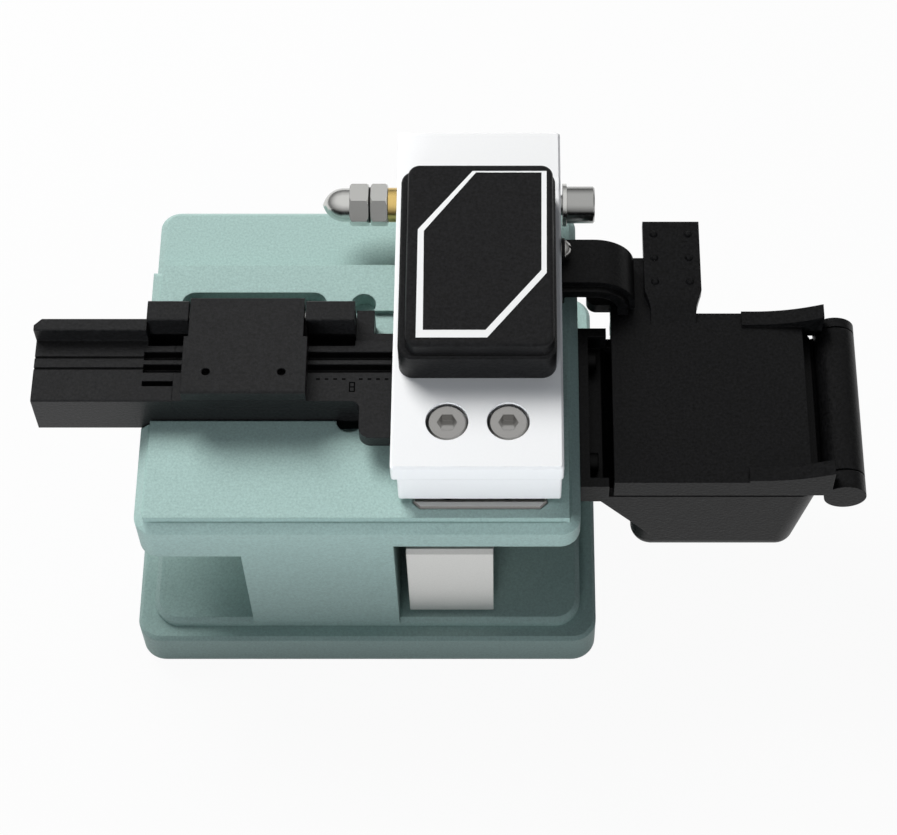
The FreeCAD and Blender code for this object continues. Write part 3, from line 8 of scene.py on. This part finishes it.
import bmesh
import bpy
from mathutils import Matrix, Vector


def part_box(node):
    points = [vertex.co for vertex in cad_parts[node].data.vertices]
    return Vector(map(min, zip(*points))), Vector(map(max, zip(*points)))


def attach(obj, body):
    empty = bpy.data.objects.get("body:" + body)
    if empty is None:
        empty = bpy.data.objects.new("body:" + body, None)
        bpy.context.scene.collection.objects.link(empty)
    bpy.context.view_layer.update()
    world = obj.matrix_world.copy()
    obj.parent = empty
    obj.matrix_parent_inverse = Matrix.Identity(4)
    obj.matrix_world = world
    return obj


MM = 0.001
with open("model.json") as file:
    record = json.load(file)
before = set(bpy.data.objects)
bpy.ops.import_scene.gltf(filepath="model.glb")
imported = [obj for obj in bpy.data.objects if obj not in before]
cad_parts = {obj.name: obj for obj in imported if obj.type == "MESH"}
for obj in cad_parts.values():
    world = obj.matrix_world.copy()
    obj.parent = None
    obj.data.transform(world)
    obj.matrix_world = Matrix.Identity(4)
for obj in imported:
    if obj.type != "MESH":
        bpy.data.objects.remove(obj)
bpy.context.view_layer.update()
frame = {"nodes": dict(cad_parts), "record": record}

# ---------------------------------------------------------------- colours
GREEN = (0.350, 0.487, 0.455)
WHITE_PAINT = (0.86, 0.86, 0.855)
SILVER = (0.66, 0.66, 0.64)
BLACK_METAL = (0.0080, 0.0080, 0.0083)
BLACK_MOULDING = (0.0042, 0.0042, 0.0044)
CAP_BLACK = (0.0055, 0.0055, 0.0058)
SCREW_BLACK = (0.008, 0.008, 0.008)
ENGRAVED_BLACK = (0.001, 0.001, 0.001)
PRINT_WHITE = (0.80, 0.80, 0.79)
STEEL = (0.34, 0.335, 0.325)
POLISHED = (0.38, 0.38, 0.37)
RAIL_GREY = (0.42, 0.42, 0.42)
SPRING_GREY = (0.36, 0.36, 0.36)
NICKEL = (0.63, 0.63, 0.61)
BRASS = (0.78, 0.56, 0.20)
MAGNET_GREY = (0.03, 0.03, 0.03)
RUBBER = (0.020, 0.020, 0.020)
PAD_GREY = (0.050, 0.050, 0.052)
PURE_WHITE = (1, 1, 1)
SKY_TINT = (0.84, 0.90, 1.0)
FILL_TINT = (0.92, 0.96, 1.0)
FLOOR_GREY = (0.60, 0.60, 0.60)

# ---------------------------------------------------------------- scales of the surfaces
GRAIN_HEIGHT = 0.05 * MM
DRIFT_SCALE = 55.0
DARKEST_GRAIN = 0.05
TOOL_MARK_HEIGHT = 0.01 * MM
TOOL_MARK_SCALE = 900.0
METAL_EDGE = 0.08 * MM
EDGE_SAMPLES = 6
PRINT_THICKNESS = 0.02 * MM
RULER_THICKNESS = 0.01 * MM

# ---------------------------------------------------------------- studio levels
CAMERA_PLACE = (0.01711, -0.15379, 0.28737)
CAMERA_TILT = 29.7
CAMERA_LENS = 99.93
CAMERA_SHIFT = -0.063
SENSOR_WIDTH = 36.0
NEAREST_SEEN = 0.01
AMBIENT_LEVEL = 0.15
FLOOR_HALF = 1.2
FLOOR_ROUGHNESS = 0.9
FLOOR_GLOW_SHARE = 0.95


# ---------------------------------------------------------------- node groups
def new_group(name, inputs, outputs):
    """Empty shader group with its sockets; inputs and outputs are (name, kind)."""
    group = bpy.data.node_groups.new(name, "ShaderNodeTree")
    for label, kind in inputs:
        group.interface.new_socket(label, in_out="INPUT", socket_type=kind)
    for label, kind in outputs:
        group.interface.new_socket(label, in_out="OUTPUT", socket_type=kind)
    entry = group.nodes.new("NodeGroupInput")
    leave = group.nodes.new("NodeGroupOutput")
    return group, entry, leave


def set_levels(node, levels):
    """Sets a node's inputs by name."""
    for label, value in levels.items():
        node.inputs[label].default_value = value


def feed(tree, socket, value):
    """Sets a number on the socket, or links another node's output to it."""
    if isinstance(value, (int, float)):
        socket.default_value = value
    else:
        tree.links.new(value, socket)


def math_node(tree, operation, first, second):
    node = tree.nodes.new("ShaderNodeMath")
    node.operation = operation
    feed(tree, node.inputs[0], first)
    feed(tree, node.inputs[1], second)
    return node.outputs[0]


def noise(tree, vector, scale, detail, roughness):
    node = tree.nodes.new("ShaderNodeTexNoise")
    set_levels(node, {"Detail": detail, "Roughness": roughness})
    feed(tree, node.inputs["Scale"], scale)
    tree.links.new(vector, node.inputs["Vector"])
    return node.outputs["Fac"]


def centred_noise(tree, value, amount):
    """Noise about zero, times amount."""
    return math_node(tree, "MULTIPLY", math_node(tree, "SUBTRACT", value, 0.5), amount)


def build_speckle():
    """Fine two-tone speckle of a blasted or grained surface, with a slow drift of tone."""
    group, entry, leave = new_group(
        "speckle",
        [("Base", "NodeSocketColor"), ("Scale", "NodeSocketFloat"),
         ("Contrast", "NodeSocketFloat"), ("Drift", "NodeSocketFloat")],
        [("Color", "NodeSocketColor"), ("Height", "NodeSocketFloat")])
    place = group.nodes.new("ShaderNodeTexCoord").outputs["Object"]
    fine = noise(group, place, entry.outputs["Scale"], detail=3.0, roughness=0.75)
    slow = noise(group, place, DRIFT_SCALE, detail=2.0, roughness=0.6)
    grain = centred_noise(group, fine, entry.outputs["Contrast"])
    wander = centred_noise(group, slow, entry.outputs["Drift"])
    both = math_node(group, "ADD", math_node(group, "ADD", grain, wander), 1.0)
    total = math_node(group, "MAXIMUM", both, DARKEST_GRAIN)
    scaled = group.nodes.new("ShaderNodeVectorMath")
    scaled.operation = "SCALE"
    group.links.new(entry.outputs["Base"], scaled.inputs[0])
    group.links.new(total, scaled.inputs["Scale"])
    group.links.new(scaled.outputs[0], leave.inputs["Color"])
    group.links.new(fine, leave.inputs["Height"])
    return group


def build_turned():
    """Fine rings or lines left by turning or grinding, for roughness and bump."""
    group, entry, leave = new_group(
        "turned",
        [("Low", "NodeSocketFloat"), ("High", "NodeSocketFloat"),
         ("Stretch", "NodeSocketVector"), ("Scale", "NodeSocketFloat")],
        [("Roughness", "NodeSocketFloat"), ("Height", "NodeSocketFloat")])
    place = group.nodes.new("ShaderNodeTexCoord").outputs["Object"]
    stretch = group.nodes.new("ShaderNodeVectorMath")
    stretch.operation = "MULTIPLY"
    group.links.new(place, stretch.inputs[0])
    group.links.new(entry.outputs["Stretch"], stretch.inputs[1])
    streak = noise(group, stretch.outputs[0], entry.outputs["Scale"], detail=4.0, roughness=0.7)
    spread = group.nodes.new("ShaderNodeMapRange")
    group.links.new(streak, spread.inputs["Value"])
    group.links.new(entry.outputs["Low"], spread.inputs["To Min"])
    group.links.new(entry.outputs["High"], spread.inputs["To Max"])
    group.links.new(spread.outputs[0], leave.inputs["Roughness"])
    group.links.new(streak, leave.inputs["Height"])
    return group


SPECKLE = build_speckle()
TURNED = build_turned()


# ---------------------------------------------------------------- materials
def new_material(name, levels):
    """Material, its node tree and its shader with these inputs set."""
    material = bpy.data.materials.new(name)
    material.use_nodes = True
    shader = material.node_tree.nodes["Principled BSDF"]
    set_levels(shader, levels)
    return material, material.node_tree, shader


def add_group(tree, group, levels):
    node = tree.nodes.new("ShaderNodeGroup")
    node.node_tree = group
    set_levels(node, levels)
    return node


def add_normal(tree, shader, height, strength, distance, edge):
    """Bump from height over softly broken edges; edge is the radius of that break, or 0."""
    bump = tree.nodes.new("ShaderNodeBump")
    set_levels(bump, {"Strength": strength, "Distance": distance})
    tree.links.new(height, bump.inputs["Height"])
    if edge > 0:
        bevel = tree.nodes.new("ShaderNodeBevel")
        bevel.samples = EDGE_SAMPLES
        set_levels(bevel, {"Radius": edge})
        tree.links.new(bevel.outputs[0], bump.inputs["Normal"])
    tree.links.new(bump.outputs[0], shader.inputs["Normal"])


def grained(name, colour, roughness, scale, contrast, drift, bump, edge, metallic=0.0, specular=0.5):
    """Blasted, anodised, painted or moulded surface."""
    levels = {"Roughness": roughness, "Metallic": metallic, "Specular IOR Level": specular}
    material, tree, shader = new_material(name, levels)
    marks = {"Base": (*colour, 1.0), "Scale": scale, "Contrast": contrast, "Drift": drift}
    speckle = add_group(tree, SPECKLE, marks)
    tree.links.new(speckle.outputs["Color"], shader.inputs["Base Color"])
    add_normal(tree, shader, speckle.outputs["Height"], bump, GRAIN_HEIGHT, edge)
    return material


def machined(name, colour, low, high, stretch=(1, 1, 1), bump=0.15):
    """Bare metal with the marks of its tool; low and high are the ends of its roughness."""
    material, tree, shader = new_material(name, {"Base Color": (*colour, 1.0), "Metallic": 1.0})
    marks = {"Low": low, "High": high, "Stretch": stretch, "Scale": TOOL_MARK_SCALE}
    turned = add_group(tree, TURNED, marks)
    tree.links.new(turned.outputs["Roughness"], shader.inputs["Roughness"])
    add_normal(tree, shader, turned.outputs["Height"], bump, TOOL_MARK_HEIGHT, METAL_EDGE)
    return material


GRAINED = {
    "green_anodised": dict(
        colour=GREEN, roughness=0.55, scale=3600.0, contrast=0.75, drift=0.06,
        bump=0.45, edge=0.2 * MM, specular=0.3),
    "white_paint": dict(
        colour=WHITE_PAINT, roughness=0.42, scale=4200.0, contrast=0.05, drift=0.02,
        bump=0.10, edge=0.12 * MM),
    "silver_block": dict(
        colour=SILVER, roughness=0.40, scale=4600.0, contrast=0.20, drift=0.03,
        bump=0.25, edge=0.15 * MM, metallic=0.75),
    "black_anodised": dict(
        colour=BLACK_METAL, roughness=0.38, scale=3000.0, contrast=3.4, drift=0.20,
        bump=0.90, edge=0.15 * MM, specular=0.25),
    "black_plastic": dict(
        colour=BLACK_MOULDING, roughness=0.36, scale=2800.0, contrast=4.5, drift=0.20,
        bump=0.90, edge=0.15 * MM, specular=0.10),
    "cap_plastic": dict(
        colour=CAP_BLACK, roughness=0.40, scale=2800.0, contrast=4.0, drift=0.20,
        bump=0.80, edge=0.2 * MM, specular=0.17),
    "rubber": dict(
        colour=RUBBER, roughness=0.70, scale=2000.0, contrast=0.4, drift=0.1,
        bump=0.3, edge=0.3 * MM),
    "grey_pad": dict(
        colour=PAD_GREY, roughness=0.65, scale=3000.0, contrast=0.4, drift=0.1,
        bump=0.2, edge=0.1 * MM),
    "engraved": dict(
        colour=ENGRAVED_BLACK, roughness=0.9, scale=3000.0, contrast=0.1, drift=0.02,
        bump=0.1, edge=0, specular=0),
    "cap_print": dict(
        colour=PRINT_WHITE, roughness=0.5, scale=3000.0, contrast=0.06, drift=0.02,
        bump=0.1, edge=0),
}
MACHINED = {
    "stainless": dict(colour=STEEL, low=0.12, high=0.22, bump=0.05),
    "nickel": dict(colour=NICKEL, low=0.16, high=0.28),
    "polished_steel": dict(colour=POLISHED, low=0.16, high=0.26, bump=0.05),
    "blade_steel": dict(colour=STEEL, low=0.20, high=0.34, stretch=(1, 40, 1)),
    "brass_bush": dict(colour=BRASS, low=0.22, high=0.36),
    "rail_steel": dict(colour=RAIL_GREY, low=0.24, high=0.36, stretch=(60, 1, 60)),
    "spring_steel": dict(colour=SPRING_GREY, low=0.25, high=0.35),
    "black_screw": dict(colour=SCREW_BLACK, low=0.40, high=0.55),
    "magnet": dict(colour=MAGNET_GREY, low=0.30, high=0.40),
}
FINISH = {name: grained(name, **look) for name, look in GRAINED.items()}
FINISH.update({name: machined(name, **look) for name, look in MACHINED.items()})
SLOT_OF = {part["node"]: part["material_slot"] for part in frame["record"]["subparts"]}


def dress_nodes():
    """Gives every CAD node the finish that its slot in the record names."""
    for name, piece in frame["nodes"].items():
        piece.data.materials.clear()
        piece.data.materials.append(FINISH[SLOT_OF[name]])


# ---------------------------------------------------------------- studio
def add_camera():
    data = bpy.data.cameras.new("camera")
    camera = bpy.data.objects.new("camera", data)
    bpy.context.scene.collection.objects.link(camera)
    data.sensor_width = SENSOR_WIDTH
    data.lens = CAMERA_LENS
    data.shift_x = CAMERA_SHIFT
    data.clip_start = NEAREST_SEEN
    camera.location = CAMERA_PLACE
    camera.rotation_euler = (math.radians(CAMERA_TILT), 0, 0)
    bpy.context.scene.camera = camera


def add_area(name, place, target, size, power, spread, colour=PURE_WHITE):
    """Rectangular lamp that shines from place at target and isn't mirrored in the object."""
    data = bpy.data.lights.new(name, "AREA")
    data.shape = "RECTANGLE"
    data.size, data.size_y = size
    data.energy = power
    data.spread = math.radians(spread)
    data.color = colour
    lamp = bpy.data.objects.new(name, data)
    lamp.location = place
    lamp.rotation_euler = (Vector(target) - Vector(place)).to_track_quat("-Z", "Y").to_euler()
    lamp.visible_glossy = False
    bpy.context.scene.collection.objects.link(lamp)


def seen_or_mirrored(tree):
    """1 for camera and mirror rays, 0 for the light that the studio sheds on the object."""
    ray = tree.nodes.new("ShaderNodeLightPath").outputs
    return math_node(tree, "MAXIMUM", ray["Is Camera Ray"], ray["Is Glossy Ray"])


def sky_level(tree):
    """White for the camera; for mirror rays bright overhead and darker towards the horizon."""
    axes = tree.nodes.new("ShaderNodeSeparateXYZ")
    tree.links.new(tree.nodes.new("ShaderNodeTexCoord").outputs["Generated"], axes.inputs[0])
    ramp = tree.nodes.new("ShaderNodeMapRange")
    tree.links.new(axes.outputs["Z"], ramp.inputs["Value"])
    set_levels(ramp, {"From Min": 0.15, "From Max": 0.80, "To Min": 0.18, "To Max": 0.95})
    seen = tree.nodes.new("ShaderNodeLightPath").outputs["Is Camera Ray"]
    return math_node(tree, "MAXIMUM", seen, ramp.outputs[0])


def choose_shader(tree, share, first, second, output):
    """Mixes two shaders by share, 0 for the first and 1 for the second, into an output node."""
    choose = tree.nodes.new("ShaderNodeMixShader")
    tree.links.new(share, choose.inputs["Fac"])
    tree.links.new(first.outputs[0], choose.inputs[1])
    tree.links.new(second.outputs[0], choose.inputs[2])
    tree.links.new(choose.outputs[0], tree.nodes[output].inputs["Surface"])


def add_world():
    world = bpy.data.worlds.new("studio")
    world.use_nodes = True
    tree = world.node_tree
    dim = tree.nodes["Background"]
    set_levels(dim, {"Color": (*SKY_TINT, 1), "Strength": AMBIENT_LEVEL})
    bright = tree.nodes.new("ShaderNodeBackground")
    set_levels(bright, {"Color": (*PURE_WHITE, 1)})
    tree.links.new(sky_level(tree), bright.inputs["Strength"])
    choose_shader(tree, seen_or_mirrored(tree), dim, bright, "World Output")
    bpy.context.scene.world = world


def add_floor():
    mesh = bpy.data.meshes.new("floor")
    form = bmesh.new()
    signs = ((-1, -1), (1, -1), (1, 1), (-1, 1))
    form.faces.new([form.verts.new((sx * FLOOR_HALF, sy * FLOOR_HALF, 0)) for sx, sy in signs])
    form.to_mesh(mesh)
    form.free()
    floor = bpy.data.objects.new("floor", mesh)
    bpy.context.scene.collection.objects.link(floor)
    levels = {"Base Color": (*FLOOR_GREY, 1), "Roughness": FLOOR_ROUGHNESS, "Specular IOR Level": 0.0}
    material, tree, shader = new_material("floor_white", levels)
    glow = tree.nodes.new("ShaderNodeEmission")
    set_levels(glow, {"Color": (*PURE_WHITE, 1), "Strength": 1.0})
    share = math_node(tree, "MULTIPLY", seen_or_mirrored(tree), FLOOR_GLOW_SHARE)
    choose_shader(tree, share, shader, glow, "Material Output")
    mesh.materials.append(material)


# ---------------------------------------------------------------- printing
def top_corner(node):
    """Front left corner of the top of a CAD node's box."""
    low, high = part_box(node)
    return low[0], low[1], high[2]


def flat_plates(name, shapes, corner, thickness, body, finish):
    """One mesh of thin flat plates; each shape is a loop of (x, y) in millimetres from corner."""
    left, front, base = corner
    mesh = bpy.data.meshes.new(name)
    form = bmesh.new()
    for shape in shapes:
        loop = [(left + x * MM, front + y * MM) for x, y in shape]
        bottom = [form.verts.new((x, y, base)) for x, y in loop]
        top = [form.verts.new((x, y, base + thickness)) for x, y in loop]
        form.faces.new(top)
        form.faces.new(bottom[::-1])
        for k in range(len(loop)):
            after = (k + 1) % len(loop)
            form.faces.new((bottom[k], bottom[after], top[after], top[k]))
    form.to_mesh(mesh)
    form.free()
    piece = bpy.data.objects.new(name, mesh)
    bpy.context.scene.collection.objects.link(piece)
    mesh.materials.append(finish)
    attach(piece, body)
    return piece


def rectangle(left, front, right, rear):
    return [(left, front), (right, front), (right, rear), (left, rear)]


def add_cap_frame():
    """Printed line round the top of the cap: six sides of unequal width, in millimetres."""
    outer = [(2.15, 1.5), (10.25, 1.5), (17.05, 10.2), (17.15, 24.45), (8.45, 24.45), (2.15, 16.2)]
    inner = [(2.95, 2.5), (10.05, 2.5), (16.45, 10.6), (16.55, 24.25), (8.85, 24.25), (2.85, 16.0)]
    sides = []
    for k in range(len(outer)):
        after = (k + 1) % len(outer)
        sides.append((outer[k], outer[after], inner[after], inner[k]))
    piece = flat_plates("cap_frame", sides, top_corner("arm_cap"), PRINT_THICKNESS, "press_arm",
                        FINISH["cap_print"])


def add_ruler():
    """Divisions one millimetre apart on the guide plate, and a numeral below the one left out."""
    right_tick, pitch, places, numeral_place = 24.9, 1.0, 9, 4
    tick_front, tick_rear, tick_half = 7.75, 7.95, 0.22
    centres = [right_tick - pitch * k for k in range(places) if k != numeral_place]
    marks = [rectangle(x - tick_half, tick_front, x + tick_half, tick_rear) for x in centres]
    middle, numeral_half, top, bar, rise = right_tick - pitch * numeral_place, 0.35, 7.45, 0.14, 0.60
    left, right = middle - numeral_half, middle + numeral_half
    for row in range(3):
        y = top - rise * row
        marks.append(rectangle(left, y - bar, right, y))
    for x in (left, right - bar):
        for row in range(2):
            y = top - bar - rise * row
            marks.append(rectangle(x, y - rise + bar, x + bar, y))
    piece = flat_plates("ruler", marks, top_corner("guide_plate"), RULER_THICKNESS, "frame",
                        FINISH["engraved"])


add_camera()
add_world()
add_floor()
dress_nodes()
add_cap_frame()
add_ruler()
add_area("key", place=(-0.14, 0.20, 0.33), target=(0.0, 0.0, 0.03), size=(0.20, 0.20),
         power=1.80, spread=180)
add_area("front_fill", place=(-0.05, -0.24, 0.080), target=(0.0, 0.0, 0.078), size=(0.26, 0.03),
         power=0.105, spread=40, colour=FILL_TINT)

view = bpy.context.scene.view_settings
view.view_transform = "Standard"
